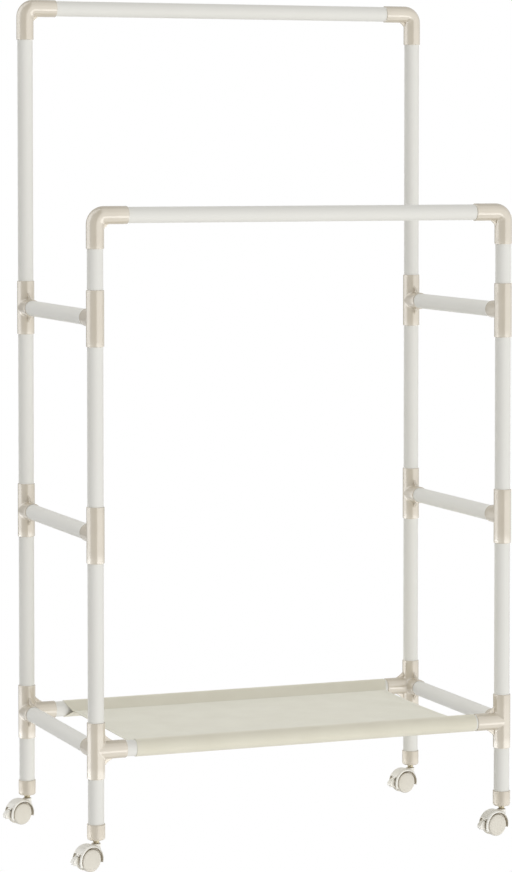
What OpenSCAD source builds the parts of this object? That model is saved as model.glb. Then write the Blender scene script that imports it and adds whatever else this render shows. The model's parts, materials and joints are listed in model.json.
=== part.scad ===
// Rolling clothes rack: a push-fit tube frame with a tall rear hanging rail, a lower front
// hanging rail, three levels of side rails, a fabric shelf and four braked twin-wheel casters.
// The origin is on the floor, midway between the four posts. +X is right, +Y back, +Z up.

/* [Frame] */
// Distance between the left and right post axes
post_gap_x = 700; // [500:10:1000]
// Distance between the front and rear post axes
post_gap_y = 365; // [300:5:450]
// Height of the shelf bars and the lowest side rails
lower_rail_z = 187; // [180:1:240]
// Height from one level of side rails to the next
level_gap = 337; // [250:1:340]
// Height of the front hanging rail
front_rail_z = 1021; // [1000:1:1100]
// Height of the rear hanging rail
rear_rail_z = 1356; // [1200:1:1600]

/* [Tubes] */
// Outside diameter of every frame tube
tube_d = 25.4; // [25:0.1:26]
// Wall thickness of the tubes
tube_wall = 0.8; // [0.6:0.1:1.5]

/* [Fittings] */
// Wall thickness of the plastic fittings
fitting_wall = 1.5; // [1.2:0.1:2]
// Elbow: corner axis to the end of each arm
elbow_arm = 52; // [46:1:60]
// Elbow: bend radius of the centre line
elbow_bend_r = 14.5; // [14.5:0.1:16]
// Tee and corner: centre to each end of the upright sleeve
sleeve_arm = 44; // [38:1:50]
// Tee and corner: post axis to the end of the side rail socket
side_arm = 38; // [34:1:42]
// Corner: post axis to the end of the shelf bar socket
shelf_arm = 48; // [42:1:56]
// Length of the stiffening ribs along a socket
rib_out = 15; // [10:1:16]
// Height of the stiffening ribs along the sleeve
rib_up = 11; // [6:1:16]
// Thickness of the stiffening ribs
rib_t = 4; // [3:0.5:6]

/* [Fabric shelf] */
// Thickness of the cloth
cloth_t = 1; // [0.8:0.1:2]
// Bare length of shelf bar between the left post axis and the cloth
cloth_from_left = 66; // [60:1:80]
// Bare length of shelf bar between the cloth and the right post axis
cloth_to_right = 50; // [50:1:80]
// Height of the bar axes above the top of the flat cloth panel
panel_drop = 0; // [0:0.5:6]
// Set-back of the panel's side edges from the sleeve ends
panel_inset = 8; // [4:1:20]

/* [Casters] */
// Wheel diameter
wheel_d = 36; // [34:1:38]
// Distance from the swivel axis back to the wheel axle
caster_trail = 15.8; // [15.6:0.1:17]
// Angle that the two left casters are turned to, from trailing straight to the left
left_caster_turn = 18; // [-180:1:180]
// Angle that the two right casters are turned to, from trailing straight to the left
right_caster_turn = 12; // [-180:1:180]
// Width over both wheels
caster_w = 24.4; // [24.4:0.2:28]
// Height of the underside of the foot cups
cup_bottom_z = 47.5; // [46:0.5:52]
// Height of the foot cups
cup_h = 24.5; // [22:0.5:30]

/* [Hidden] */
$fn = 64;
SIDES = [["left", -1], ["right", 1]];
CORNERS = [["rear_left", -1, 1], ["rear_right", 1, 1], ["front_left", -1, -1], ["front_right", 1, -1]];
LEVELS = [["lower", 0], ["middle", 1], ["upper", 2]];
CORNER_KINDS = ["elbow", "upper_tee", "middle_tee", "corner", "foot_cup", "caster_hood",
    "caster_axle", "near_wheel", "far_wheel", "brake_lever"];

tube_color = "whitesmoke";
fitting_color = [0.87, 0.83, 0.76];
caster_color = [0.90, 0.87, 0.80];
cloth_color = [0.85, 0.83, 0.75];
steel_color = "silver";

// Push fit: the tube stops short of the shoulder that ends its socket
fit_gap = 0.1;
end_gap = 0.5;
fitting_d = tube_d + 2 * fitting_wall;
fitting_r = fitting_d / 2;
socket_d = tube_d + 2 * fit_gap;
core_d = tube_d - 4;
elbow_stop = 20;
sleeve_stop = 12;
side_stop = 16;
cup_floor = 6.5;
elbow_rib = 9;
cut = 1;

// Caster layout, measured from the wheel axle
wheel_r = wheel_d / 2;
wheel_edge = 1.2;
web_half = 4.5;
wheel_inner = 4.9;
wheel_hub_end = 9.5;
axle_d = 5;
run_gap = 0.05;
hood_half = caster_w / 2 - 1.2;
well_r = wheel_r + 2.4;
well_shift = 1.2;
hood_r = wheel_r + 5.5;
hub_r = 7;
hub_top_z = cup_bottom_z - 5.8;
pin_d = 6;
pin_bottom_z = 23;
stem_d = 8;
collar_d = 10.5;
collar_h = 1.8;
stem_top_z = cup_bottom_z + 33;
boss_r = 7.5;
cup_edge_r = 3;
cheek_inner = 3.1;
cheek_r = 15.5;
slot_half = 9.3;
fender_from = -15;
fender_to = 205;
slot_from = 150;
lever_half = 4.6;
lever_core_half = 2.8;
pivot = [-10, 6];
trunnion_d = 3.8;
sector_r = 40;

// Places a child drawn for the front left post, mirrored to suit the other posts
module at_post(corner, z = 0)
    translate([corner[1] * post_gap_x / 2, corner[2] * post_gap_y / 2, z])
        mirror([corner[1] > 0 ? 1 : 0, 0, 0])
            mirror([0, corner[2] > 0 ? 1 : 0, 0])
                children();

// Places a caster child, turned about its swivel axis
module at_caster(corner)
    translate([corner[1] * post_gap_x / 2, corner[2] * post_gap_y / 2, 0])
        rotate([0, 0, corner[1] < 0 ? left_caster_turn : right_caster_turn])
            children();

// Turns a profile drawn in X and Y into one drawn in X and Z around the wheel axle
module on_axle()
    translate([-caster_trail, 0, wheel_r])
        rotate([90, 0, 0])
            children();

function level_z(level) = lower_rail_z + level * level_gap;
function rail_z(corner) = corner[2] > 0 ? rear_rail_z : front_rail_z;
function elbow_tube_end() = elbow_stop + end_gap;
function polar(angle, radius) = [radius * cos(angle), radius * sin(angle)];

// ---- Tubes ----

module tube(length)
    color(tube_color)
        difference() {
            cylinder(d = tube_d, h = length);
            translate([0, 0, -cut])
                cylinder(d = tube_d - 2 * tube_wall, h = length + 2 * cut);
        }

module upright(from_z, to_z)
    translate([0, 0, from_z])
        tube(to_z - from_z);

module tube_across(side, z, stop)
    translate([-post_gap_x / 2 + stop + end_gap, side * post_gap_y / 2, z])
        rotate([0, 90, 0])
            tube(post_gap_x - 2 * (stop + end_gap));

module side_rail(side, level)
    translate([side * post_gap_x / 2, -post_gap_y / 2 + side_stop + end_gap, level_z(level)])
        rotate([-90, 0, 0])
            tube(post_gap_y - 2 * (side_stop + end_gap));

module top_tube(corner)
    upright(level_z(2) + sleeve_stop + end_gap, rail_z(corner) - elbow_tube_end());

module post_tube(level)
    upright(level_z(level) + sleeve_stop + end_gap, level_z(level + 1) - sleeve_stop - end_gap);

module leg_tube()
    upright(cup_bottom_z + cup_floor + end_gap, lower_rail_z - sleeve_stop - end_gap);

// ---- Fittings ----

// One arm of a fitting along +Z, with its end edge eased
module arm(length)
    rotate_extrude()
        polygon([[0, 0], [fitting_r, 0], [fitting_r, length - 0.5], [fitting_r - 0.5, length], [0, length]]);

// The hollow of an arm: a socket for the tube down to its shoulder, then a narrower core
module hollow(length, stop) {
    translate([0, 0, stop])
        cylinder(d = socket_d, h = length - stop + cut);
    cylinder(d = core_d, h = length);
}

// A three-cornered rib between the +Z and +X arms
module rib(out, up)
    rotate([90, 0, 0])
        linear_extrude(rib_t, center = true)
            polygon([[0, 0], [fitting_r + out, 0], [fitting_r + out, fitting_r],
                     [fitting_r, fitting_r + up], [0, fitting_r + up]]);

// Ribs above and below a socket that points along +X
module rib_pair()
    for (flip = [0, 1])
        mirror([0, 0, flip])
            rib(rib_out, rib_up);

module elbow_bend(diameter)
    translate([elbow_bend_r, 0, -elbow_bend_r])
        rotate([90, 0, 0])
            rotate([0, 0, 90])
                rotate_extrude(angle = 90)
                    translate([elbow_bend_r, 0])
                        circle(d = diameter);

module elbow()
    color(fitting_color)
        difference() {
            union() {
                elbow_bend(fitting_d);
                for (turn = [[180, 0, 0], [0, 90, 0]])
                    rotate(turn)
                        translate([0, 0, elbow_bend_r])
                            arm(elbow_arm - elbow_bend_r);
                mirror([0, 0, 1])
                    rib(elbow_rib, elbow_rib);
            }
            elbow_bend(core_d);
            for (turn = [[180, 0, 0], [0, 90, 0]])
                rotate(turn)
                    translate([0, 0, elbow_bend_r])
                        hollow(elbow_arm - elbow_bend_r, elbow_stop - elbow_bend_r);
        }

// A tee: an upright sleeve and a side rail socket along +Y
module tee()
    color(fitting_color)
        difference() {
            union() {
                for (turn = [0, 180])
                    rotate([turn, 0, 0])
                        arm(sleeve_arm);
                rotate([-90, 0, 0])
                    arm(side_arm);
                rotate([0, 0, 90])
                    rib_pair();
            }
            tee_hollows();
        }

module tee_hollows() {
    for (turn = [0, 180])
        rotate([turn, 0, 0])
            hollow(sleeve_arm, sleeve_stop);
    rotate([-90, 0, 0])
        hollow(side_arm, side_stop);
}

// A corner: a tee with a shelf bar socket along +X as well
module corner()
    color(fitting_color)
        difference() {
            union() {
                for (turn = [0, 180])
                    rotate([turn, 0, 0])
                        arm(sleeve_arm);
                rotate([-90, 0, 0])
                    arm(side_arm);
                rotate([0, 90, 0])
                    arm(shelf_arm);
                for (turn = [0, 90])
                    rotate([0, 0, turn])
                        rib_pair();
            }
            tee_hollows();
            rotate([0, 90, 0])
                hollow(shelf_arm, side_stop);
        }

// A cup under the leg tube, with a boss inside the tube that grips the caster stem
module foot_cup()
    color(fitting_color)
        translate([0, 0, cup_bottom_z])
            difference() {
                union() {
                    difference() {
                        union() {
                            translate([0, 0, cup_edge_r])
                                cylinder(r = fitting_r, h = cup_h - cup_edge_r);
                            cylinder(r = fitting_r - cup_edge_r, h = cup_floor);
                            translate([0, 0, cup_edge_r])
                                rotate_extrude()
                                    translate([fitting_r - cup_edge_r, 0])
                                        circle(r = cup_edge_r);
                        }
                        translate([0, 0, cup_floor])
                            cylinder(d = socket_d, h = cup_h);
                    }
                    cylinder(r = boss_r, h = stem_top_z - cup_bottom_z + 3);
                }
                translate([0, 0, -cut])
                    cylinder(d = stem_d + 2 * fit_gap, h = stem_top_z - cup_bottom_z + end_gap + cut);
            }

// ---- Fabric shelf ----

module cloth_sleeve(side, radius)
    translate([-post_gap_x / 2 + cloth_from_left, side * post_gap_y / 2, lower_rail_z])
        rotate([0, 90, 0])
            cylinder(r = radius, h = post_gap_x - cloth_from_left - cloth_to_right);

module fabric_shelf()
    color(cloth_color)
        difference() {
            union() {
                for (side = [-1, 1])
                    cloth_sleeve(side, tube_d / 2 + 2 * fit_gap + cloth_t);
                translate([-post_gap_x / 2 + cloth_from_left + panel_inset, -post_gap_y / 2,
                           lower_rail_z - panel_drop - cloth_t])
                    cube([post_gap_x - cloth_from_left - cloth_to_right - 2 * panel_inset,
                          post_gap_y, cloth_t]);
            }
            for (side = [-1, 1])
                cloth_sleeve(side, tube_d / 2 + 2 * fit_gap);
        }

// ---- Casters, drawn trailing along -X from the swivel axis ----

module stem()
    color(steel_color) {
        translate([0, 0, pin_bottom_z])
            cylinder(d = pin_d, h = cup_bottom_z - collar_h - pin_bottom_z);
        translate([0, 0, cup_bottom_z - collar_h])
            cylinder(d = collar_d, h = collar_h - fit_gap);
        translate([0, 0, cup_bottom_z - collar_h])
            cylinder(d = stem_d, h = stem_top_z - cup_bottom_z + collar_h);
    }

// Flat blank around the wheel axle, reaching half_w to each side of the caster's middle
module around_axle(half_w)
    on_axle()
        linear_extrude(2 * half_w, center = true)
            children();

// The part of the caster's side view between two angles around the axle
module sector(from, to)
    polygon([[0, 0], for (i = [0 : 4]) polar(from + i * (to - from) / 4, sector_r)]);

module caster_hood()
    color(caster_color)
        difference() {
            union() {
                around_axle(hood_half)
                    intersection() {
                        circle(r = hood_r);
                        sector(fender_from, fender_to);
                    }
                around_axle(web_half)
                    circle(r = cheek_r);
                translate([0, 0, wheel_r])
                    cylinder(r = hub_r, h = hub_top_z - wheel_r);
            }
            wheel_wells();
            lever_space();
            translate([0, 0, pin_bottom_z - end_gap])
                cylinder(d = pin_d + 2 * run_gap, h = hub_top_z);
            around_axle(caster_w)
                circle(d = axle_d);
        }

module wheel_wells()
    for (flip = [0, 1])
        mirror([0, flip, 0])
            on_axle()
                translate([well_shift, 0, web_half])
                    cylinder(r = well_r, h = caster_w);

// Pocket between the hood's cheeks, slot through its fender and the lever's pivot holes
module lever_space() {
    around_axle(cheek_inner)
        intersection() {
            circle(r = well_r - 0.4);
            translate([-sector_r - 5, -sector_r])
                square([sector_r, sector_r + 13]);
        }
    around_axle(slot_half)
        difference() {
            sector(slot_from, slot_from + 80);
            circle(r = cheek_r);
        }
    around_axle(web_half + cut)
        translate(pivot)
            circle(d = trunnion_d + 2 * run_gap);
}

module caster_axle()
    color(steel_color)
        around_axle(wheel_hub_end - end_gap)
            circle(d = axle_d - 2 * run_gap);

// One wheel of the pair, drawn on the near side of the caster
module near_wheel()
    color(caster_color)
        on_axle()
            difference() {
                rotate_extrude()
                    polygon([[0, wheel_inner], [wheel_r - wheel_edge, wheel_inner],
                             [wheel_r, wheel_inner + wheel_edge],
                             [wheel_r, caster_w / 2 - wheel_edge],
                             [wheel_r - wheel_edge, caster_w / 2], [0, caster_w / 2]]);
                translate([0, 0, wheel_inner - cut])
                    cylinder(d = axle_d, h = wheel_hub_end - wheel_inner + cut);
            }

module far_wheel()
    mirror([0, 1, 0])
        near_wheel();

// Brake lever: a core between the cheeks, trunnions and a wide toe pad outside the hood
module brake_lever()
    color(caster_color) {
        around_axle(lever_core_half)
            polygon([[-10, 10], [-16, 8.5], [-19.4, 6.4], [-21, 0], [-20, -6], [-17, -5],
                     [-10, 2], [-7, 3.5], [-6.2, 6], [-7, 8.5]]);
        around_axle(lever_half)
            polygon([[-19.4, 6.4], [-22.4, 8.8], [-26.5, 6.6], [-30, 3.4], [-31.4, 0.4],
                     [-31.2, -2.2], [-29.6, -4.2], [-26, -5.4], [-20, -7], [-18.9, -4],
                     [-18.7, 0], [-18.9, 4]]);
        around_axle(web_half - fit_gap)
            translate(pivot)
                circle(d = trunnion_d);
    }

// ---- Assembly ----

tube_across(1, rear_rail_z, elbow_stop);  // rear_hanging_rail
tube_across(-1, front_rail_z, elbow_stop);  // front_hanging_rail
tube_across(1, lower_rail_z, side_stop);  // rear_shelf_bar
tube_across(-1, lower_rail_z, side_stop);  // front_shelf_bar
fabric_shelf();

for (s = SIDES)
    for (l = LEVELS)
        side_rail(s[1], l[1]);

for (c = CORNERS) {
    at_post(c) post_tube(1);  // upper_post_tubes
    at_post(c) post_tube(0);  // lower_post_tubes
    at_post(c) leg_tube();  // leg_tubes
    at_post(c) stem();  // caster_stems
    at_post(c) top_tube(c);
    at_post(c, rail_z(c)) elbow();
    at_post(c, level_z(2)) tee();
    at_post(c, level_z(1)) tee();
    at_post(c, level_z(0)) corner();
    at_post(c) foot_cup();
    at_caster(c) caster_hood();
    at_caster(c) caster_axle();
    at_caster(c) near_wheel();
    at_caster(c) far_wheel();
    at_caster(c) brake_lever();
}
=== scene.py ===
"""Looks of the rolling clothes rack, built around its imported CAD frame.

The modelling functions work in millimetres, and piece() turns them into metres.
A fitting is drawn for the front left post, with its arms towards +X, +Y and Z, and mirrored to suit
the others. A caster piece is drawn around its wheel axle, trailing towards -X.
"""
import json
import math

import bmesh
import bpy
import numpy as np
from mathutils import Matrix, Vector

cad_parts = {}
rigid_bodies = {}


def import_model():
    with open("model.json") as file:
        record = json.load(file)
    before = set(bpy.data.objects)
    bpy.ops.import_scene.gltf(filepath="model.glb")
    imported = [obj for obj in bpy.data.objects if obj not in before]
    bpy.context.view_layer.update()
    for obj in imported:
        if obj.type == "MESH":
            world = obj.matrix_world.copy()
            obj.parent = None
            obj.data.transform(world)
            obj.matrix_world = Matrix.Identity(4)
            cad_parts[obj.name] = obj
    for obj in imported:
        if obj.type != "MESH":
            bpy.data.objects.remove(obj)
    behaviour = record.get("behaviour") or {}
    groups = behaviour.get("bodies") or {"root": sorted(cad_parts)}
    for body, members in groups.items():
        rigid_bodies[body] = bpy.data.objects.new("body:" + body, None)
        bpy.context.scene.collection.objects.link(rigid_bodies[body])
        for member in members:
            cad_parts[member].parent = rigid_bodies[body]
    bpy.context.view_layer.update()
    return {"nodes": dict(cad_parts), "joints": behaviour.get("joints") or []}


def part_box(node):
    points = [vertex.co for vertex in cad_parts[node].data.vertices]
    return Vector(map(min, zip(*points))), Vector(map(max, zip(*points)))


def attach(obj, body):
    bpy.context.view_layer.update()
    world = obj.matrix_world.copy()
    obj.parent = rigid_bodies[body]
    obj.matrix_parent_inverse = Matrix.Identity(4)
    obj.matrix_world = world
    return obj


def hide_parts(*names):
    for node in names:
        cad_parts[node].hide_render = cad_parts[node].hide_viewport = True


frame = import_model()

MM = 0.001
CORNERS = {"rear_left": (-1, 1), "rear_right": (1, 1), "front_left": (-1, -1), "front_right": (1, -1)}
LEVELS = ("lower", "middle", "upper")
X, Y, Z = np.eye(3)


# ---- Places and sizes, from the frame ----

def box_mm(node):
    low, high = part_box(node)
    return np.array(low) / MM, np.array(high) / MM


def middle(node):
    low, high = box_mm(node)
    return (low + high) / 2


def reach(node, axis, place):
    """How far a node of the front left post reaches past a place along an axis."""
    return box_mm(node)[1][axis] - place


JOINTS = {joint["name"]: joint for joint in frame["joints"]}
POSTS = {corner: middle("foot_cup_" + corner)[:2] for corner in CORNERS}
POST_X, POST_Y = POSTS["front_left"]
FIT_R = (box_mm("foot_cup_front_left")[1][0] - box_mm("foot_cup_front_left")[0][0]) / 2
TUBE_R = POST_X - box_mm("leg_tubes")[0][0]
CUP_BOTTOM = box_mm("foot_cup_front_left")[0][2]
CUP_TOP = CUP_BOTTOM + 24.5
BOSS_TOP = box_mm("foot_cup_front_left")[1][2]
RAIL_Z = {corner: middle(corner.split("_")[0] + "_hanging_rail")[2] for corner in CORNERS}
LEVEL_Z = {level: middle(level + "_side_rail_left")[2] for level in LEVELS}
ELBOW_ARM = reach("elbow_front_left", 0, POST_X)
SIDE_ARM = reach("upper_tee_front_left", 1, POST_Y)
SLEEVE_ARM = reach("upper_tee_front_left", 2, LEVEL_Z["upper"])
SHELF_ARM = reach("corner_front_left", 0, POST_X)
WHEEL_R = JOINTS["near_wheel_spin_front_left"]["pos_m"][2] / MM

# Fittings: the socket round a tube, the bore behind it, and how far from the centre each tube stops.
SOCKET_R = TUBE_R + 0.1
CORE_R = TUBE_R - 2
SLEEVE_STOP, SIDE_STOP, ELBOW_STOP = 12, 16, 20
ELBOW_BEND_R = 14.5
RIM_EASE = 0.8
RIB_T = 3.4
AROUND = 64

# Casters: sideways places are measured from the middle, and heights of the hub from the floor.
WHEEL_INNER, WHEEL_FACE, WHEEL_HUB_END = 4.9, 12.2, 9.5
AXLE_R = 2.5
TRAIL = 15.8
PIN_R = 3.05
HUB_R = 7.2
HUB_TOP = 41.7
COLLAR_BOTTOM = 45.7
HOOD_R, HOOD_FACE, WELL_R, WELL_SHIFT = 24.0, 11.2, 20.4, 1.2
WEB_R, WEB_HALF = 15.5, 4.5
SLOT_FRONT = -5
PIVOT_X, PIVOT_Z = -10, 6


# ---- Shapes: a shape is an array of points and a list of faces ----

def grid_faces(rows, columns, wrap_rows=False, wrap_columns=False):
    row_steps = rows if wrap_rows else rows - 1
    column_steps = columns if wrap_columns else columns - 1
    faces = []
    for i in range(row_steps):
        for k in range(column_steps):
            near, far = i * columns, (i + 1) % rows * columns
            after = (k + 1) % columns
            faces.append((near + k, near + after, far + after, far + k))
    return faces


def together(shapes):
    points, faces, count = [], [], 0
    for some_points, some_faces in shapes:
        points.append(np.asarray(some_points, float))
        faces += [tuple(index + count for index in face) for face in some_faces]
        count += len(some_points)
    return np.concatenate(points), faces


def moved(shape, move):
    return shape[0] + np.asarray(move, float), shape[1]


def flipped(shape):
    return shape[0], [tuple(reversed(face)) for face in shape[1]]


def mirrored(shape, axis):
    points = shape[0].copy()
    points[:, axis] *= -1
    return flipped((points, shape[1]))


def eased(outline, steps=4):
    """An outline of (x, y, ease) corners, with each corner rounded off over its ease length."""
    outline = [np.array(corner, float) for corner in outline]
    result = []
    for i, corner in enumerate(outline):
        before, after = outline[i - 1], outline[(i + 1) % len(outline)]
        place, ease = corner[:2], corner[2]
        if ease == 0:
            result.append(place)
            continue
        start = place + ease * (before[:2] - place) / np.linalg.norm(before[:2] - place)
        end = place + ease * (after[:2] - place) / np.linalg.norm(after[:2] - place)
        for t in np.linspace(0, 1, steps + 1):
            result.append((1 - t) ** 2 * start + 2 * t * (1 - t) * place + t * t * end)
    return np.array(result)


def lathe(profile, around=96):
    """A closed outline of (radius, height) points, counter-clockwise, turned about Z."""
    angles = np.arange(around) * 2 * math.pi / around
    points = [(r * math.cos(a), r * math.sin(a), h) for r, h in profile for a in angles]
    return np.array(points), grid_faces(len(profile), around, True, True)


def welded(shape, gap=0.002):
    """The shape with points at the same place merged and its flat faces dropped."""
    mesh = bpy.data.meshes.new("welded")
    mesh.from_pydata(shape[0].tolist(), [], shape[1])
    editing = bmesh.new()
    editing.from_mesh(mesh)
    bmesh.ops.remove_doubles(editing, verts=editing.verts, dist=gap)
    bmesh.ops.dissolve_degenerate(editing, edges=editing.edges, dist=gap)
    editing.to_mesh(mesh)
    editing.free()
    result = shape_of(mesh)
    bpy.data.meshes.remove(mesh)
    return result


def shape_of(mesh):
    points = np.array([vertex.co[:] for vertex in mesh.vertices])
    return points, [tuple(face.vertices) for face in mesh.polygons]


def united(base, extras):
    """The solid union of a shape with some others."""
    scene_objects = bpy.context.scene.collection.objects
    helpers = []
    for shape in [base] + list(extras):
        mesh = bpy.data.meshes.new("helper")
        mesh.from_pydata(shape[0].tolist(), [], shape[1])
        helpers.append(bpy.data.objects.new("helper", mesh))
        scene_objects.link(helpers[-1])
    for helper in helpers[1:]:
        modifier = helpers[0].modifiers.new("union", "BOOLEAN")
        modifier.operation, modifier.solver, modifier.object = "UNION", "EXACT", helper
    evaluated = helpers[0].evaluated_get(bpy.context.evaluated_depsgraph_get())
    result = shape_of(evaluated.to_mesh())
    evaluated.to_mesh_clear()
    for helper in helpers:
        mesh = helper.data
        bpy.data.objects.remove(helper)
        bpy.data.meshes.remove(mesh)
    return result


# ---- Signed distances, for the moulded caster parts ----

def smooth_min(a, b, reach_mm):
    overlap = np.maximum(reach_mm - np.abs(a - b), 0) / np.maximum(reach_mm, 1e-6)
    return np.minimum(a, b) - overlap ** 2 * reach_mm / 4


def smooth_max(a, b, reach_mm=0.7):
    return -smooth_min(-a, -b, reach_mm)


def polygon_distance(u, v, outline):
    """Distance in a plane to a closed outline of corners, negative inside."""
    nearest = np.full(u.shape, np.inf)
    inside = np.zeros(u.shape, bool)
    for (u0, v0), (u1, v1) in zip(outline, outline[1:] + outline[:1]):
        du, dv = u1 - u0, v1 - v0
        share = np.clip(((u - u0) * du + (v - v0) * dv) / (du * du + dv * dv), 0, 1)
        nearest = np.minimum(nearest, np.hypot(u - u0 - share * du, v - v0 - share * dv))
        crosses = (v0 > v) != (v1 > v)
        inside ^= crosses & (u < u0 + (v - v0) * du / (dv if dv else 1e-9))
    return np.where(inside, -nearest, nearest)


def rounded_slab(plan, across, half, ease):
    """A flat shape of the given plan distance, half thick to each side, with its edges rounded."""
    outward, sideways = plan + ease, np.abs(across) - half + ease
    rim = np.hypot(np.maximum(outward, 0), np.maximum(sideways, 0)) - ease
    return np.minimum(np.maximum(outward, sideways), 0) + rim


def settled(field, points, rounds=4, most=0.3):
    """Points moved onto the zero surface of a field along its slope."""
    nudge = 0.02
    for _ in range(rounds):
        value = field(points)
        rises = [field(points + nudge * axis) - field(points - nudge * axis) for axis in (X, Y, Z)]
        slope = np.stack(rises, -1) / (2 * nudge)
        step = value[..., None] * slope / np.maximum((slope ** 2).sum(-1, keepdims=True), 0.2)
        length = np.linalg.norm(step, axis=-1, keepdims=True)
        points = points - step * np.minimum(1, most / np.maximum(length, 1e-9))
    return points


def surface_net(field, low, high, step):
    """A closed shape where the field is zero, with one point in each grid cell that it crosses."""
    axes = [np.arange(low[i] - step, high[i] + 2 * step, step) for i in range(3)]
    grid = np.stack(np.meshgrid(*axes, indexing="ij"), -1)
    values = field(grid)
    cells = np.array(values.shape) - 1
    total, count = np.zeros((*cells, 3)), np.zeros(cells)
    quads = []
    for axis in range(3):
        first = [slice(None)] * 3
        second = [slice(None)] * 3
        first[axis], second[axis] = slice(None, -1), slice(1, None)
        a, b = values[tuple(first)], values[tuple(second)]
        edges = np.argwhere((a < 0) != (b < 0))
        start, end = a[tuple(edges.T)], b[tuple(edges.T)]
        crossing = grid[tuple(first)][tuple(edges.T)]
        crossing[:, axis] += step * start / (start - end)
        ring = []
        for back_1, back_2 in ((1, 1), (0, 1), (0, 0), (1, 0)):
            cell = edges.copy()
            cell[:, (axis + 1) % 3] -= back_1
            cell[:, (axis + 2) % 3] -= back_2
            np.add.at(total, tuple(cell.T), crossing)
            np.add.at(count, tuple(cell.T), 1)
            ring.append(np.ravel_multi_index(cell.T, cells))
        ring = np.stack(ring, -1)
        ring[start >= 0] = ring[start >= 0][:, ::-1]
        quads.append(ring)
    used = count.ravel() > 0
    number = np.cumsum(used) - 1
    points = total.reshape(-1, 3)[used] / count.ravel()[used][:, None]
    faces = number[np.concatenate(quads)]
    return settled(field, points), [tuple(face) for face in faces.tolist()]


# ---- Fittings ----

def roll(direction):
    """A direction square to the given one, where the points around an arm start."""
    return X if abs(direction[2]) > 0.5 else Z


def arm_rim(length, stop):
    """(distance, radius) stations over the end of an arm and down its socket to the shoulder."""
    rim = [(length - RIM_EASE * (1 - math.sin(a)), FIT_R - RIM_EASE * (1 - math.cos(a)))
           for a in np.linspace(0, math.pi / 2, 5)]
    return rim + [(length, SOCKET_R + 0.25), (length - 0.25, SOCKET_R), (stop, SOCKET_R), (stop, CORE_R)]


def hub_field(points, directions):
    """Distance to the arms of a fitting, with soft fillets where they cross."""
    radii, normals = [], []
    for direction in directions:
        along = np.maximum((points @ direction)[..., None], 0) * direction
        away = points - along
        radius = np.linalg.norm(away, axis=-1)
        radii.append(radius - FIT_R)
        normals.append(away / np.maximum(radius, 1e-6)[..., None])
    best, best_normal = radii[0], normals[0]
    for radius, normal in zip(radii[1:], normals[1:]):
        turn = 1 - np.clip((best_normal * normal).sum(-1), 0, 1)
        nearer = (radius < best)[..., None]
        best = smooth_min(best, radius, 3.5 * turn)
        best_normal = np.where(nearer, normal, best_normal)
    return best


def hub(arms):
    """A fitting of round arms, given as (direction, length, stop), with mitred and filleted joins."""
    directions = [direction for direction, _, _ in arms]

    # Where the rings of an arm lie along it, closer together near the joins.
    shares = (0, 0.02, 0.04, 0.065, 0.095, 0.13, 0.2, 0.35, 0.6)
    angles = np.arange(AROUND) * 2 * math.pi / AROUND
    shapes = []
    for direction, length, stop in arms:
        across = roll(direction)
        side = np.cross(direction, across)
        outward = np.cos(angles)[:, None] * across + np.sin(angles)[:, None] * side
        others = [other for other in directions if abs(other @ direction) < 0.5]
        mitre = np.maximum(0, np.max([outward @ other for other in others], axis=0))
        start = FIT_R * mitre
        rings = []
        for share in shares:
            distance = start + share * (length - RIM_EASE - start)
            ring = FIT_R * outward + distance[:, None] * direction
            if share < 0.5:
                ring = settled(lambda points: hub_field(points, directions), ring, 3, 1.0)
            rings.append(ring)
        rings += [radius * outward + distance * direction for distance, radius in arm_rim(length, stop)]
        rings.append(CORE_R * outward + CORE_R * mitre[:, None] * direction)
        shapes.append((np.concatenate(rings), grid_faces(len(rings), AROUND, wrap_columns=True)))
    return welded(together(shapes), 0.01)


def rib(out, up, hollow=1.3):
    """A stiffening rib between the +X and +Z arms, with a slightly hollow, rounded edge."""
    inner = FIT_R - 0.7
    start, end = np.array([FIT_R + out, inner]), np.array([inner, FIT_R + up])
    normal = np.array([end[1] - start[1], start[0] - end[0]])
    normal /= np.linalg.norm(normal)
    edge = [start + t * (end - start) - 4 * hollow * t * (1 - t) * normal for t in np.linspace(0, 1, 9)]
    ease = 0.9
    layers = [(-RIB_T / 2, ease), (-RIB_T / 2 + 0.27 * ease, 0.27 * ease), (-RIB_T / 2 + ease, 0)]
    layers += [(-y, inset) for y, inset in reversed(layers)]
    rows = []
    for y, inset in layers:
        outline = [np.array([inner, inner])] + [point - inset * normal for point in edge]
        rows += [(max(x, inner), y, max(z, inner)) for x, z in outline]
    columns = len(edge) + 1
    faces = grid_faces(len(layers), columns, wrap_columns=True)
    last = (len(layers) - 1) * columns
    faces += [tuple(reversed(range(columns))), tuple(range(last, last + columns))]
    return np.array(rows), [tuple(reversed(face)) for face in faces]


def rib_pair():
    """Ribs above and below the arm towards +X."""
    above = rib(15, 11)
    return [above, mirrored(above, 2)]


def turned_to_y(shape):
    """The shape with its +X arm turned to +Y."""
    points = shape[0][:, [1, 0, 2]]
    return flipped((points, shape[1]))


def tee_shape():
    arms = [(Z, SLEEVE_ARM, SLEEVE_STOP), (-Z, SLEEVE_ARM, SLEEVE_STOP), (Y, SIDE_ARM, SIDE_STOP)]
    return united(hub(arms), [turned_to_y(one) for one in rib_pair()])


def corner_shape():
    arms = [(Z, SLEEVE_ARM, SLEEVE_STOP), (-Z, SLEEVE_ARM, SLEEVE_STOP), (Y, SIDE_ARM, SIDE_STOP),
            (X, SHELF_ARM, SIDE_STOP)]
    return united(hub(arms), [turned_to_y(one) for one in rib_pair()] + rib_pair())


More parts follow.
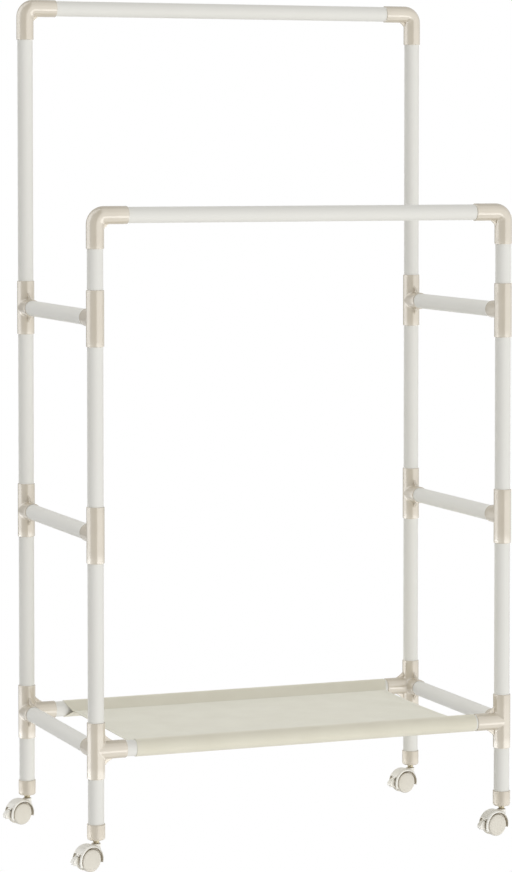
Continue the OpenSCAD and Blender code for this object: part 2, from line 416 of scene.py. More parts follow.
def elbow_shape():
    """A swept bend from the -Z arm to the +X arm, hollow, with a web in its inner corner."""
    length = ELBOW_ARM - ELBOW_BEND_R
    stop = ELBOW_STOP - ELBOW_BEND_R
    half = math.pi / 4 * ELBOW_BEND_R

    def place(distance):
        """The point and outward direction at a distance along the path from the bend's middle."""
        if abs(distance) <= half:
            angle = math.pi * 3 / 4 - distance / ELBOW_BEND_R
        else:
            angle = math.pi / 2 if distance > 0 else math.pi
        outward = np.array([math.cos(angle), 0, math.sin(angle)])
        forward = np.array([math.sin(angle), 0, -math.cos(angle)])
        extra = max(abs(distance) - half, 0) * (1 if distance > 0 else -1)
        centre = np.array([ELBOW_BEND_R, 0, -ELBOW_BEND_R])
        return centre + ELBOW_BEND_R * outward + extra * forward, outward

    rim = [(half + distance, radius) for distance, radius in arm_rim(length, stop)]
    outer = [(distance, FIT_R) for distance in (0, *np.linspace(0, half, 9)[1:], half + length * 0.5)]
    inner = [(distance, CORE_R) for distance in (half, *np.linspace(half, 0, 9)[1:-1])]
    one_way = outer + rim + inner
    other_way = [(-distance, radius) for distance, radius in reversed(one_way[1:])]
    stations = one_way + [(0, CORE_R)] + other_way
    angles = np.arange(AROUND) * 2 * math.pi / AROUND
    rings = []
    for distance, radius in stations:
        point, outward = place(distance)
        rings.append(point + radius * (np.cos(angles)[:, None] * outward + np.sin(angles)[:, None] * Y))
    shape = np.concatenate(rings), grid_faces(len(rings), AROUND, True, True)
    web = mirrored(rib(9, 9, hollow=0.6), 2)
    return united(flipped(shape), [web])


def foot_cup_shape():
    """The cup under a leg tube, with the boss inside that grips the caster stem."""
    stem_r, boss_r, floor = 4.1, 7.5, CUP_BOTTOM + 6.5
    return lathe(eased([
        (stem_r, CUP_BOTTOM, 0.4), (FIT_R, CUP_BOTTOM, 3.4), (FIT_R, CUP_TOP, 0.8),
        (SOCKET_R, CUP_TOP, 0.3), (SOCKET_R, floor, 0), (boss_r, floor, 0.8), (boss_r, BOSS_TOP, 0.8),
        (stem_r, BOSS_TOP, 0)]))


# ---- Casters ----

def hood_field(points):
    """The hood of a caster, with its centre on the wheel axle and its stem at x = TRAIL."""
    x, y, z = points[..., 0], points[..., 1], points[..., 2]
    from_axle, side, swivel = np.hypot(x, z), np.abs(y), np.hypot(x - TRAIL, y)
    front_end, back_end, slot_end = (np.radians(angle) for angle in (-15, 205, 150))
    below_front = -x * np.sin(front_end) + z * np.cos(front_end)
    below_back = x * np.sin(back_end) - z * np.cos(back_end)
    above_slot = x * np.sin(slot_end) - z * np.cos(slot_end)

    # The shell over both wheels, rounded down at its sides, with a slot behind for the lever.
    flat_half = 7.6
    falling = np.maximum(side - flat_half, 0) / (HOOD_FACE - flat_half)
    shell = smooth_max((from_axle - HOOD_R + 2.3 * falling ** 2) * 0.9, side - HOOD_FACE, 0.8)
    well = np.maximum(np.hypot(x - WELL_SHIFT, z) - WELL_R, WEB_HALF - side)
    shell = smooth_max(smooth_max(shell, -well, 0.5), -smooth_max(below_front, below_back), 0.9)
    slot = np.maximum(side - 9.3, WEB_R - from_axle)
    slot = np.maximum(np.maximum(slot, above_slot), x - SLOT_FRONT)
    shell = smooth_max(shell, -slot, 0.9)
    lining = np.maximum(np.abs(from_axle - 19.9) - 0.55, np.abs(side - 7.4) - 2.4)
    lining = np.maximum(np.maximum(lining, above_slot), -below_back)
    lining = np.maximum(lining, x - SLOT_FRONT)

    # The web between the wheels, and the hub under the stem.
    web = smooth_max(from_axle - WEB_R, side - WEB_HALF)
    bridge = smooth_max(smooth_max(from_axle - HOOD_R + 1.5, side - WEB_HALF), 8 - z, 0.5)
    hub_body = smooth_max(swivel - HUB_R, z - (HUB_TOP - WHEEL_R), 1.2)
    hub_body = smooth_max(smooth_max(hub_body, -5 - z), -well, 0.5)
    solid = smooth_min(smooth_min(shell, np.minimum(web, bridge), 0.6), hub_body, 2.2)
    solid = smooth_min(solid, lining, 0.4)

    # The lever's pocket and pivot, the holes for the pin and the axle, and a small hole at each side.
    pocket = np.maximum(side - 3.1, from_axle - WELL_R + 0.4)
    pocket = np.maximum(pocket, np.maximum(x - SLOT_FRONT, z - 13))
    pivot_hole = np.maximum(np.hypot(x - PIVOT_X, z - PIVOT_Z) - 2, side - 6)
    pin_hole = np.maximum(swivel - PIN_R, 4.5 - z)
    for space in (pocket, pivot_hole, pin_hole, from_axle - AXLE_R):
        solid = np.maximum(solid, -space)
    side_hole = np.maximum(np.hypot(x + 14.5, z - 13.5) - 0.9, 18.5 - from_axle)
    side_hole = np.maximum(side_hole, np.abs(side - 9.4) - 0.9)
    return smooth_max(solid, -side_hole, 0.3)


def hood_shape():
    """The hood's mesh, at a grid step that gives every edge exactly two faces."""
    return surface_net(hood_field, (-HOOD_R, -HOOD_FACE, -16), (HOOD_R, HOOD_FACE, HOOD_R + 1), 0.56)


def softened(outline, rounds=2):
    """A closed outline with its corners cut again and again until they are round."""
    for _ in range(rounds):
        pairs = list(zip(outline, outline[1:] + outline[:1]))
        outline = [(a[0] + t * (b[0] - a[0]), a[1] + t * (b[1] - a[1]))
                   for a, b in pairs for t in (0.25, 0.75)]
    return outline


# The lever seen from its side, as (x, z) outlines: the part inside the hood, and the pad behind it.
LEVER_CORE = [(-10, 10), (-16, 8.5), (-19.4, 6.4), (-21, 0), (-20, -6), (-17, -5), (-10, 2), (-7, 3.5),
              (-6.2, 6), (-7, 8.5)]
LEVER_PAD = [(-19.4, 6.4), (-22.4, 8.8), (-26.5, 6.6), (-30, 3.4), (-31.4, 0.4), (-31.2, -2.2),
             (-29.6, -4.2), (-26, -5.4), (-20, -7), (-18.9, -4), (-18.7, 0), (-18.9, 4)]


def lever_field(points):
    """The brake lever, with the round trunnion that it turns on."""
    x, y, z = points[..., 0], points[..., 1], points[..., 2]
    core = rounded_slab(polygon_distance(x, z, LEVER_CORE), y, 2.8, 0.5)
    pad = rounded_slab(polygon_distance(x, z, softened(LEVER_PAD)), y, 4.6, 1.6)
    grip = smooth_min(core, pad, 1.5)
    trunnion = np.maximum(np.hypot(x - PIVOT_X, z - PIVOT_Z) - 1.9, np.abs(y) - 4.4)
    return np.minimum(grip, trunnion)


def lever_shape():
    return surface_net(lever_field, (-32, -5, -8), (-5, 5, 11), 0.45)


def wheel_shape():
    """The near wheel: a hub and rim with a rounded tread edge, under a slightly domed cover disc."""
    profile = eased([
        (AXLE_R, WHEEL_INNER, 0.2), (AXLE_R, WHEEL_HUB_END, 0), (0, WHEEL_HUB_END, 0), (0, WHEEL_FACE, 0),
        (7, WHEEL_FACE - 0.05, 2), (12.7, WHEEL_FACE - 0.3, 0.5), (12.9, WHEEL_FACE - 0.42, 0.12),
        (13.1, WHEEL_FACE - 0.32, 0.3), (16.6, WHEEL_FACE - 0.7, 1.6), (WHEEL_R, WHEEL_FACE - 3.1, 1.4),
        (WHEEL_R, WHEEL_INNER, 1.1)])
    points, faces = welded(lathe(profile[::-1]))
    return points[:, [0, 2, 1]] * [1, -1, 1], faces


def race_shape():
    """The cone between a caster's hub and the collar of its stem, around the pin."""
    low, high = HUB_TOP + 0.15, COLLAR_BOTTOM - 0.05
    return lathe(eased([(PIN_R, low, 0), (4.4, low, 0.3), (5.2, high, 0.3), (PIN_R, high, 0)]), 48)


# ---- Fabric shelf ----

# The seams lie this far inside the bars' axes and below them, and the cloth's ends are tucked under.
SEAM_GAP = 27.5
SEAM_DROP = 0.5
HEM_TAIL = 9
SLEEVE_R = TUBE_R + 0.7
CLOTH_T = 0.9
BAR_Z = LEVEL_Z["lower"]
BAR_Y = -POST_Y
SEAM_Y = BAR_Y - SEAM_GAP

# The sleeves' ends lie a little to the left of the CAD cloth's.
CLOTH_LEFT = box_mm("fabric_shelf")[0][0] - 2.0
CLOTH_RIGHT = box_mm("fabric_shelf")[1][0] - 1.2

# How far the side edges are drawn in at the seams, and further at the middle of the panel.
SEAM_INSET, MIDDLE_INSET = 8, 4.5


def side_inset(turn):
    """How far a side edge is drawn in, with turn from 0 at a seam to a right angle at the middle."""
    return SEAM_INSET + MIDDLE_INSET * math.sin(turn) ** 0.9


def cloth_half():
    """Half of the shelf's cross-section, from the hem under the panel round the rear bar to the middle.

    Each station is (y, z, inset), where inset is how far the side edges are drawn in."""
    seam = np.array([-SEAM_GAP, -SEAM_DROP])
    under = seam + [0, -CLOTH_T - 0.25]

    def tangent(point, way):
        distance = np.linalg.norm(point)
        return math.atan2(point[1], point[0]) + way * math.acos(SLEEVE_R / distance)

    top, bottom = tangent(seam, -1), tangent(under, 1)
    if top < 0:
        top += 2 * math.pi
    if bottom >= 0:
        bottom -= 2 * math.pi
    wrap = [SLEEVE_R * np.array([math.cos(angle), math.sin(angle)]) for angle in np.linspace(bottom, top, 49)]
    stations = [(under[0] - HEM_TAIL * share, under[1], SEAM_INSET + 0.3) for share in np.linspace(1, 0.1, 6)]
    stations += [(*(under + share * (wrap[0] - under)), SEAM_INSET * (1 - share))
                 for share in np.linspace(0.04, 0.92, 10)]
    stations += [(*point, 0) for point in wrap]
    stations += [(*(wrap[-1] + share * (seam - wrap[-1])), SEAM_INSET * share)
                 for share in np.linspace(0.08, 0.96, 10)]
    stations += [(seam[0] - SEAM_Y * (1 - math.cos(turn)), seam[1], side_inset(turn))
                 for turn in np.linspace(0, math.pi / 2, 41)]
    return [(BAR_Y + y, BAR_Z + z, inset) for y, z, inset in stations]


def cloth_panel_wave(x, y):
    """Height of the panel above its seams: a slight sag, with soft creases from the corners."""
    half_x = (CLOTH_RIGHT - CLOTH_LEFT) / 2
    across, deep = (x - (CLOTH_RIGHT + CLOTH_LEFT) / 2) / half_x, y / SEAM_Y
    held = np.clip(1 - deep ** 2, 0, 1)
    sag = -3.2 * held ** 0.8 * (0.55 + 0.45 * (1 - across ** 4))
    from_edge = 1 - np.abs(across)
    fading = np.clip(from_edge / 0.12, 0, 1) ** 2 * np.exp(-(from_edge / 0.3) ** 2)
    creases = 0.9 * fading * np.sin(0.075 * np.abs(y) - 0.05 * half_x * from_edge) * held
    drape = 0.28 * np.sin(x * 0.021 + 0.6) * np.sin(y * 0.034 + 0.4) * held * np.clip(from_edge / 0.1, 0, 1)
    return sag + creases + drape


def fabric_sheet():
    """The cloth as a closed solid, and the length of its cross-section."""
    half = cloth_half()
    section = half + [(-y, z, inset) for y, z, inset in reversed(half[:-1])]
    ys, zs, insets = (np.array(column) for column in zip(*section))
    length = np.hypot(np.diff(ys), np.diff(zs)).sum()
    rows, columns = len(section), 181

    # The columns lie a little closer together near the side edges.
    share = np.linspace(0, 1, columns)
    share -= 0.16 * np.sin(2 * math.pi * share) / (2 * math.pi)
    lows, highs = CLOTH_LEFT + insets[:, None], CLOTH_RIGHT - insets[:, None]
    x = lows + share * (highs - lows)
    y = np.repeat(ys[:, None], columns, 1)
    z = np.repeat(zs[:, None], columns, 1)
    lift = np.where(np.abs(y) <= SEAM_Y + 1e-6, cloth_panel_wave(x, y), 0)
    sheet = np.stack([x, y, z + lift], -1)
    normal = np.cross(np.gradient(sheet, axis=1), np.gradient(sheet, axis=0))
    normal /= np.linalg.norm(normal, axis=-1, keepdims=True)

    # The panel is thicker in the hems along its side edges, and thinner where the seams pull it in.
    hem_width = 9
    from_side = np.minimum(x - lows, highs - x)
    on_panel = (np.abs(y) < SEAM_Y - 0.5) & (np.abs(z - BAR_Z + SEAM_DROP) < 0.3)
    hem = np.where(on_panel, np.clip((hem_width - from_side) / 1.2, 0, 1), 0)
    seam_line = np.exp(-((np.abs(y) - SEAM_Y) / 1.1) ** 2) * (z > BAR_Z - 1)
    half_t = CLOTH_T / 2 + 0.25 * hem - 0.12 * seam_line
    out = normal * half_t[..., None]
    points = np.concatenate([(sheet + out).reshape(-1, 3), (sheet - out).reshape(-1, 3)])

    count = rows * columns
    faces = grid_faces(rows, columns)
    faces += [tuple(index + count for index in reversed(face)) for face in faces]
    border = list(range(columns))
    border += [i * columns + columns - 1 for i in range(1, rows)]
    border += [(rows - 1) * columns + k for k in range(columns - 2, -1, -1)]
    border += [i * columns for i in range(rows - 2, 0, -1)]
    faces += [(b, a, a + count, b + count) for a, b in zip(border, border[1:] + border[:1])]
    return (points, faces), length


def stitch(start, end):
    """One thread stitch between two points: a low arch that dips into the cloth at both ends."""
    radius, lift, sink = 0.3, 0.45, 0.25
    rings, around = 5, 6
    start, end = np.array(start, float), np.array(end, float)
    forward = (end - start) / np.linalg.norm(end - start)
    side = np.cross(Z, forward)
    points = []
    for t in np.linspace(0, 1, rings):
        centre = start + t * (end - start) + Z * (lift * math.sin(math.pi * t) - sink)
        size = radius * (0.55 + 0.45 * math.sin(math.pi * t))
        for a in np.arange(around) * 2 * math.pi / around:
            points.append(centre + size * (math.cos(a) * side + math.sin(a) * Z))
    last = (rings - 1) * around
    faces = grid_faces(rings, around, wrap_columns=True)
    faces += [tuple(reversed(range(around))), tuple(range(last, last + around))]
    return np.array(points), faces


def shelf_stitching():
    """Rows of stitches along both seams and along the hems of the side edges."""
    pitch, gap = 3.6, 0.9
    from_seam, from_edge = 1.4, 6.8
    top = BAR_Z - SEAM_DROP + CLOTH_T / 2
    shapes = []
    for y in (SEAM_Y - from_seam, from_seam - SEAM_Y):
        for x in np.arange(CLOTH_LEFT + SEAM_INSET + 3, CLOTH_RIGHT - SEAM_INSET - 3, pitch):
            shapes.append(stitch(*[(px, y, top + cloth_panel_wave(px, y)) for px in (x, x + pitch - gap)]))
    for sign, limit in ((1, CLOTH_LEFT), (-1, CLOTH_RIGHT)):
        for y in np.arange(4 - SEAM_Y, SEAM_Y - 4, pitch):
            ends = []
            for py in (y, y + pitch - gap):
                px = limit + sign * (side_inset(math.acos(abs(py) / SEAM_Y)) + from_edge)
                ends.append((px, py, top + 0.2 + cloth_panel_wave(px, py)))
            shapes.append(stitch(*ends))
    return together(shapes)


# ---- Materials ----

def material(name, color, roughness, build, **inputs):
    """A material whose nodes are added by build(nodes, links, shader)."""
    result = bpy.data.materials.new(name)
    result.use_nodes = True
    nodes, links = result.node_tree.nodes, result.node_tree.links
    shader = nodes["Principled BSDF"]
    shader.inputs["Base Color"].default_value = (*color, 1)
    shader.inputs["Roughness"].default_value = roughness
    for key, value in inputs.items():
        shader.inputs[key.replace("_", " ")].default_value = value
    build(nodes, links, shader, color, roughness)
    return result


def add(nodes, kind, **values):
    node = nodes.new(kind)
    for key, value in values.items():
        setattr(node, key, value)
    return node


def math_node(nodes, links, operation, *values):
    node = add(nodes, "ShaderNodeMath", operation=operation)
    for index, value in enumerate(values):
        if isinstance(value, (int, float)):
            node.inputs[index].default_value = value
        else:
            links.new(value, node.inputs[index])
    return node.outputs["Value"]


def dot_node(nodes, links, a, b):
    node = add(nodes, "ShaderNodeVectorMath", operation="DOT_PRODUCT")
    links.new(a, node.inputs[0])
    if isinstance(b, tuple):
        node.inputs[1].default_value = b
    else:
        links.new(b, node.inputs[1])
    return node.outputs["Value"]


def noise(nodes, links, scale, detail, stretch=(1, 1, 1)):
    """Noise over the piece's own coordinates, in metres."""
    place = nodes.new("ShaderNodeTexCoord")
    mapping = nodes.new("ShaderNodeMapping")
    mapping.inputs["Scale"].default_value = stretch
    texture = nodes.new("ShaderNodeTexNoise")
    texture.inputs["Scale"].default_value = scale
    texture.inputs["Detail"].default_value = detail
    links.new(place.outputs["Object"], mapping.inputs["Vector"])
    links.new(mapping.outputs["Vector"], texture.inputs["Vector"])
    return texture.outputs["Fac"]


def spread(nodes, links, value, low, high):
    """Noise values spread over a range, centred on its middle."""
    node = nodes.new("ShaderNodeMapRange")
    node.inputs["From Min"].default_value = 0.3
    node.inputs["From Max"].default_value = 0.7
    node.inputs["To Min"].default_value = low
    node.inputs["To Max"].default_value = high
    links.new(value, node.inputs["Value"])
    return node.outputs["Result"]


def tint(nodes, links, shader, color, value, depth):
    """Varies the base colour a little, with darker places warmer."""
    mix = add(nodes, "ShaderNodeMix", data_type="RGBA")
    mix.inputs["A"].default_value = (*(c * (1 - depth * k) for c, k in zip(color, (0.8, 1, 1.3))), 1)
    mix.inputs["B"].default_value = (*(min(c * (1 + depth * 0.5), 1) for c in color), 1)
    links.new(spread(nodes, links, value, 0, 1), mix.inputs["Factor"])
    links.new(mix.outputs["Result"], shader.inputs["Base Color"])


def bump(nodes, links, shader, height, distance, strength, coat=False):
    node = nodes.new("ShaderNodeBump")
    node.inputs["Distance"].default_value = distance
    node.inputs["Strength"].default_value = strength
    links.new(height, node.inputs["Height"])
    links.new(node.outputs["Normal"], shader.inputs["Normal"])
    if coat:
        links.new(node.outputs["Normal"], shader.inputs["Coat Normal"])


def powder_coat(nodes, links, shader, color, roughness):
    tint(nodes, links, shader, color, noise(nodes, links, 9, 3), 0.012)
    links.new(spread(nodes, links, noise(nodes, links, 60, 4), roughness - 0.03, roughness + 0.03),
              shader.inputs["Roughness"])
    bump(nodes, links, shader, noise(nodes, links, 900, 2), 0.00003, 0.35)


def moulded(nodes, links, shader, color, roughness):
    tint(nodes, links, shader, color, noise(nodes, links, 35, 3), 0.03)
    links.new(spread(nodes, links, noise(nodes, links, 220, 3), roughness - 0.02, roughness + 0.04),
              shader.inputs["Roughness"])
    bump(nodes, links, shader, noise(nodes, links, 70, 2), 0.0001, 0.12, coat=True)


def zinc(nodes, links, shader, color, roughness):
    tint(nodes, links, shader, color, noise(nodes, links, 160, 4), 0.12)
    fine = noise(nodes, links, 900, 2, (1, 1, 0.1))
    links.new(spread(nodes, links, fine, roughness - 0.08, roughness + 0.1), shader.inputs["Roughness"])
    bump(nodes, links, shader, fine, 0.00004, 0.3)


def woven(nodes, links, shader, color, roughness):
    """A plain weave of threads along X and Y, with uneven yarns, and a painted warm shade on the sleeves
    round the bars.
    """
    place = nodes.new("ShaderNodeTexCoord")
    threads = []
    for direction in ("X", "Y"):
        wave = add(nodes, "ShaderNodeTexWave", wave_type="BANDS", bands_direction=direction)
        wave.inputs["Scale"].default_value = 340
        wave.inputs["Distortion"].default_value = 0.35
        wave.inputs["Detail"].default_value = 1
        links.new(place.outputs["Object"], wave.inputs["Vector"])
        threads.append(wave.outputs["Fac"])
    weave = math_node(nodes, links, "MULTIPLY", *threads)
    yarns = math_node(nodes, links, "MULTIPLY_ADD", noise(nodes, links, 260, 2), 0.35, weave)
    shades = math_node(nodes, links, "MULTIPLY_ADD", yarns, 0.1, noise(nodes, links, 22, 4))
    tint(nodes, links, shader, color, shades, 0.035)

    # Painted shade: beyond the seams the sleeves are darker and warmer, for the shade and warm bounced light
    # between the cloth and the bars.
    parts = nodes.new("ShaderNodeSeparateXYZ")
    links.new(place.outputs["Object"], parts.inputs["Vector"])
    from_middle = math_node(nodes, links, "ABSOLUTE", parts.outputs["Y"])
    sleeve_shade = add(nodes, "ShaderNodeMix", data_type="RGBA", blend_type="MULTIPLY")
    sleeve_shade.inputs["B"].default_value = (*SLEEVE_SHADE_TINT, 1)
    links.new(math_node(nodes, links, "GREATER_THAN", from_middle, SEAM_Y * MM), sleeve_shade.inputs["Factor"])
    links.new(shader.inputs["Base Color"].links[0].from_socket, sleeve_shade.inputs["A"])
    links.new(sleeve_shade.outputs["Result"], shader.inputs["Base Color"])
    bump(nodes, links, shader, yarns, 0.00018, 0.45)


def painted_recess_shade(nodes, links, shader, color, roughness):
    """Moulded plastic with painted shade: its colour darkens towards a shade colour in its gaps and pockets,
    from ambient occlusion.
    """
    moulded(nodes, links, shader, color, roughness)
    shade = add(nodes, "ShaderNodeAmbientOcclusion", samples=8)
    shade.inputs["Distance"].default_value = 0.008
    depth = nodes.new("ShaderNodeMapRange")
    depth.inputs["From Min"].default_value = 0.2
    depth.inputs["From Max"].default_value = 0.62
    links.new(shade.outputs["AO"], depth.inputs["Value"])
    mix = add(nodes, "ShaderNodeMix", data_type="RGBA")
    mix.inputs["A"].default_value = (*RECESS_SHADE_COLOR, 1)
    links.new(depth.outputs["Result"], mix.inputs["Factor"])
    links.new(shader.inputs["Base Color"].links[0].from_socket, mix.inputs["B"])
    links.new(mix.outputs["Result"], shader.inputs["Base Color"])


def thread(nodes, links, shader, color, roughness):
    fine = noise(nodes, links, 1500, 2)
    tint(nodes, links, shader, color, fine, 0.06)
    bump(nodes, links, shader, fine, 0.00006, 0.4)


TUBE_COLOR = (0.838, 0.828, 0.78)
FITTING_COLOR = (0.64, 0.575, 0.465)
CUP_COLOR = (0.575, 0.515, 0.415)
CASTER_COLOR = (0.86, 0.84, 0.775)
WHEEL_COLOR = (0.69, 0.655, 0.57)
CLOTH_COLOR = (0.795, 0.775, 0.655)
# How the painted shade on the sleeves darkens and warms the cloth.
SLEEVE_SHADE_TINT = (0.985, 0.967, 0.945)
THREAD_COLOR = (0.74, 0.72, 0.63)
# Zinc steel and the stem's race are darker than bare zinc: painted shade for the narrow neck between the cup
# and the hub.
ZINC_SHADED_COLOR = (0.36, 0.33, 0.24)
RACE_SHADED_COLOR = (0.40, 0.35, 0.24)
# The painted shade colour that the casters' gaps and pockets darken towards.
RECESS_SHADE_COLOR = (0.34, 0.275, 0.165)
FINISHES = {
    "tube_white": material("tube_white", TUBE_COLOR, 0.45, powder_coat, Specular_IOR_Level=0.05),
    "fitting_plastic": material("fitting_plastic", FITTING_COLOR, 0.16, moulded, IOR=1.9),
    "fitting_satin": material("fitting_plastic_satin", CUP_COLOR, 0.42, moulded, IOR=1.9),
    "caster_plastic": material("caster_plastic", CASTER_COLOR, 0.3, painted_recess_shade, IOR=1.6),
    "caster_wheel": material("caster_plastic_wheel", WHEEL_COLOR, 0.38, painted_recess_shade, IOR=1.5),
    "shelf_cloth": material("shelf_cloth", CLOTH_COLOR, 0.9, woven, Sheen_Weight=0.25, Sheen_Roughness=0.6),
    "zinc_steel": material("zinc_steel", ZINC_SHADED_COLOR, 0.32, zinc, Metallic=1.0),
}
RACE = material("zinc_steel_race", RACE_SHADED_COLOR, 0.5, zinc, Metallic=0.4)
THREAD = material("shelf_thread", THREAD_COLOR, 0.7, thread, Sheen_Weight=0.3)


# ---- Pieces ----

def piece(name, shape, finish, body, sharp=35):
    """A finished piece in metres, riding on a body."""
    mesh = bpy.data.meshes.new(name)
    mesh.from_pydata((shape[0] * MM).tolist(), [], shape[1])
    mesh.polygons.foreach_set("use_smooth", [True] * len(mesh.polygons))
    mesh.set_sharp_from_angle(angle=math.radians(sharp))
    mesh.materials.append(finish)
    result = bpy.data.objects.new(name, mesh)
    bpy.context.scene.collection.objects.link(result)
    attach(result, body)
    return result


def at_post(shape, corner, z):
    """A shape drawn for the front left post, placed at a corner and a height."""
    side_x, side_y = CORNERS[corner]
    if side_x > 0:
        shape = mirrored(shape, 0)
    if side_y > 0:
        shape = mirrored(shape, 1)
    return moved(shape, (*POSTS[corner], z))


def at_caster(shape, corner):
    """A shape drawn around the wheel axle, placed at a corner's caster."""
    swivel = np.array(JOINTS["swivel_" + corner]["pos_m"]) / MM
    axle = np.array(JOINTS["near_wheel_spin_" + corner]["pos_m"]) / MM
    back = math.atan2(axle[1] - swivel[1], axle[0] - swivel[0])
    forward = np.array([-math.cos(back), -math.sin(back), 0])
    left = np.cross(Z, forward)
    points = shape[0] @ np.array([forward, left, Z])
    return moved((points, shape[1]), (axle[0], axle[1], WHEEL_R))


def make_fittings():
    shapes = {"elbow": elbow_shape(), "tee": tee_shape(), "corner": corner_shape(),
              "foot_cup": foot_cup_shape()}
    for corner in CORNERS:
        kinds = {"elbow": ("elbow", RAIL_Z[corner]), "upper_tee": ("tee", LEVEL_Z["upper"]),
                 "middle_tee": ("tee", LEVEL_Z["middle"]), "corner": ("corner", LEVEL_Z["lower"]),
                 "foot_cup": ("foot_cup", 0.0)}
        for kind, (shape, z) in kinds.items():
            node = kind + "_" + corner
            finish = FINISHES["fitting_satin" if kind == "foot_cup" else "fitting_plastic"]
            made = piece(node + "_moulding", at_post(shapes[shape], corner, z), finish, "frame")
            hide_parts(node)


def make_casters():
    wheel = wheel_shape()
    shapes = {"caster_hood": hood_shape(), "brake_lever": lever_shape(), "near_wheel": wheel,
              "far_wheel": mirrored(wheel, 1)}
    for corner in CORNERS:
        for kind, shape in shapes.items():
            node = kind + "_" + corner
            body = "caster_" + corner if kind == "caster_hood" else node
            finish = FINISHES["caster_wheel" if "wheel" in kind else "caster_plastic"]
            made = piece(node + "_moulding", at_caster(shape, corner), finish, body, 50)
            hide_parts(node)


def make_races():
    shape = race_shape()
    for corner in CORNERS:
        race = piece("caster_race_" + corner, moved(shape, (*POSTS[corner], 0)), RACE, "frame")


def make_shelf():
    shape, length = fabric_sheet()
    cloth = piece("fabric_shelf_cloth", shape, FINISHES["shelf_cloth"], "frame", 60)
    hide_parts("fabric_shelf")
    stitching = piece("fabric_shelf_stitching", shelf_stitching(), THREAD, "frame", 60)


def finish_cad_nodes():
    """Gives each CAD node that stays the finish of its own material slot."""
    for node in frame["nodes"].values():
        for place in node.material_slots:
            name = place.material.name.split(".")[0]
            if name in FINISHES:
                place.material = FINISHES[name]


# ---- Stage, light and camera ----

CAMERA_PLACE = (-1.8629, -4.7466, 1.1225)
CAMERA_YAW, CAMERA_PITCH = math.radians(21.311), math.radians(-2.25)
CAMERA_LENS, SENSOR_WIDTH, CAMERA_SHIFT = 128.12, 36, -0.1886


def make_camera():
    data = bpy.data.cameras.new("camera")
    data.lens, data.sensor_width, data.shift_y = CAMERA_LENS, SENSOR_WIDTH, CAMERA_SHIFT
    camera = bpy.data.objects.new("camera", data)
    level = math.cos(CAMERA_PITCH)
    ahead = Vector((level * math.sin(CAMERA_YAW), level * math.cos(CAMERA_YAW), math.sin(CAMERA_PITCH)))
    camera.location = CAMERA_PLACE
    camera.rotation_euler = ahead.to_track_quat("-Z", "Y").to_euler()
    bpy.context.scene.collection.objects.link(camera)
    bpy.context.scene.camera = camera


def make_floor():
    """A plain white floor, as bright as the backdrop."""
    mesh = bpy.data.meshes.new("floor")
    half = 20
    rim = [(-half, -half, 0), (half, -half, 0), (half, half, 0), (-half, half, 0)]
    mesh.from_pydata(rim, [], [(0, 1, 2, 3)])
    floor = bpy.data.objects.new("floor", mesh)
    bpy.context.scene.collection.objects.link(floor)
    white = bpy.data.materials.new("floor_white")
    white.use_nodes = True
    nodes, links = white.node_tree.nodes, white.node_tree.links
    nodes.remove(nodes["Principled BSDF"])
    glow = nodes.new("ShaderNodeEmission")
    links.new(glow.outputs["Emission"], nodes["Material Output"].inputs["Surface"])
    mesh.materials.append(white)
    for ray in ("diffuse", "glossy", "transmission", "shadow"):
        setattr(floor, "visible_" + ray, False)


# The studio's soft fill. Its brightness from a direction d is FILL_EVEN + FILL_SLOPE.d + d.FILL_ROWS.d.
FILL_EVEN = 0.652
FILL_SLOPE = (0.085, 0.112, 0.022)
FILL_ROWS = ((-0.290, -0.135, -0.225), (-0.135, 0.837, 0.338), (-0.225, 0.338, 0.0))

# What the glossy plastic reflects: panels to both sides of a dark gap, as (degrees, brightness) steps.
# Angle 0 is towards the camera, and negative angles are to its left.
PANEL_ANGLES = [(-180, 0.6), (-150, 0.45), (-137, 0.5), (-127, 2.0), (-97, 3.4), (-69, 3.4), (-64, 1.6),
                (-35, 1.0), (0, 0.5), (20, 0.5), (26, 2.2), (75, 2.2), (97, 1.9), (128, 1.1), (180, 0.7)]
PANEL_HEIGHTS = [(-90, 0.8), (-34, 0.85), (-31, 1.9), (-13, 1.9), (-11, 1.0), (25, 1.0), (50, 0.75),
                 (90, 0.75)]


def ramp(nodes, links, value, steps, low, high):
    """Brightness steps over a range of angles, from a value in radians."""
    share = nodes.new("ShaderNodeMapRange")
    share.inputs["From Min"].default_value = math.radians(low)
    share.inputs["From Max"].default_value = math.radians(high)
    links.new(value, share.inputs["Value"])
    node = nodes.new("ShaderNodeValToRGB")
    elements = node.color_ramp.elements
    while len(elements) < len(steps):
        elements.new(0.5)
    for element, (angle, bright) in zip(elements, steps):
        element.position = (angle - low) / (high - low)
        element.color = (bright, bright, bright, 1)
    links.new(share.outputs["Result"], node.inputs["Fac"])
    return node.outputs["Color"]


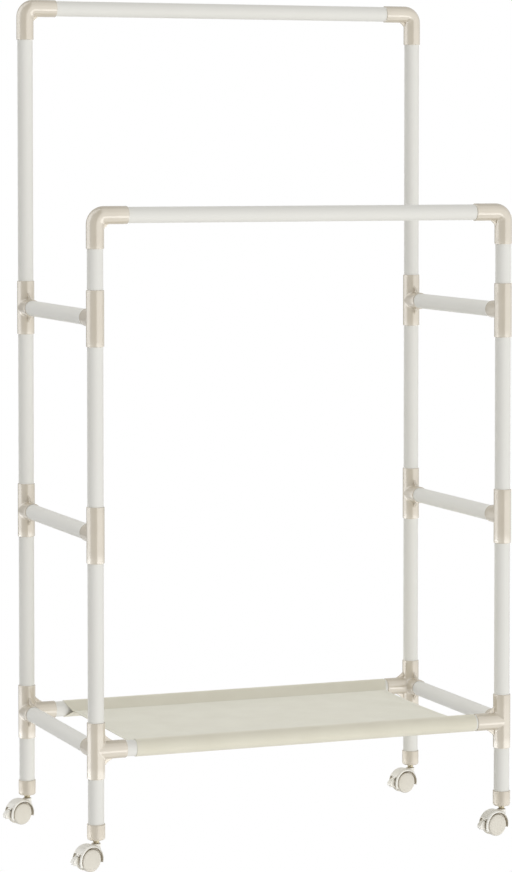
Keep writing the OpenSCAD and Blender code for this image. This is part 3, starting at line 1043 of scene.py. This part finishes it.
def make_studio():
    """White backdrop, a soft fill that lights the surfaces, and the panels that show in the gloss."""
    world = bpy.data.worlds.new("studio")
    bpy.context.scene.world = world
    world.use_nodes = True
    world.cycles.sampling_method = "NONE"
    nodes, links = world.node_tree.nodes, world.node_tree.links
    nodes.clear()
    direction = nodes.new("ShaderNodeTexCoord").outputs["Generated"]

    turned = nodes.new("ShaderNodeCombineXYZ")
    for index, row in enumerate(FILL_ROWS):
        links.new(dot_node(nodes, links, direction, row), turned.inputs[index])
    curved = dot_node(nodes, links, direction, turned.outputs["Vector"])
    sloped = math_node(nodes, links, "ADD", dot_node(nodes, links, direction, FILL_SLOPE), FILL_EVEN)
    fill = math_node(nodes, links, "MAXIMUM", math_node(nodes, links, "ADD", curved, sloped), 0)

    towards = (-math.sin(CAMERA_YAW), -math.cos(CAMERA_YAW), 0)
    right = (math.cos(CAMERA_YAW), -math.sin(CAMERA_YAW), 0)
    angle = math_node(nodes, links, "ARCTAN2", dot_node(nodes, links, direction, right),
                      dot_node(nodes, links, direction, towards))
    height = math_node(nodes, links, "ARCSINE", dot_node(nodes, links, direction, (0, 0, 1)))
    panels = math_node(nodes, links, "MULTIPLY", ramp(nodes, links, angle, PANEL_ANGLES, -180, 180),
                       ramp(nodes, links, height, PANEL_HEIGHTS, -90, 90))

    rays = nodes.new("ShaderNodeLightPath")
    choose = add(nodes, "ShaderNodeMix", data_type="FLOAT")
    links.new(rays.outputs["Is Glossy Ray"], choose.inputs["Factor"])
    links.new(fill, choose.inputs["A"])
    links.new(panels, choose.inputs["B"])
    studio, white = nodes.new("ShaderNodeBackground"), nodes.new("ShaderNodeBackground")
    for background in (studio, white):
        background.inputs["Color"].default_value = (1, 1, 1, 1)
    links.new(choose.outputs["Result"], studio.inputs["Strength"])
    backdrop = nodes.new("ShaderNodeMixShader")
    links.new(rays.outputs["Is Camera Ray"], backdrop.inputs["Fac"])
    links.new(studio.outputs["Background"], backdrop.inputs[1])
    links.new(white.outputs["Background"], backdrop.inputs[2])
    output = nodes.new("ShaderNodeOutputWorld")
    links.new(backdrop.outputs["Shader"], output.inputs["Surface"])


bpy.context.scene.view_settings.view_transform = "Standard"
make_camera()
make_floor()
make_studio()
finish_cad_nodes()
make_fittings()
make_casters()
make_races()
make_shelf()
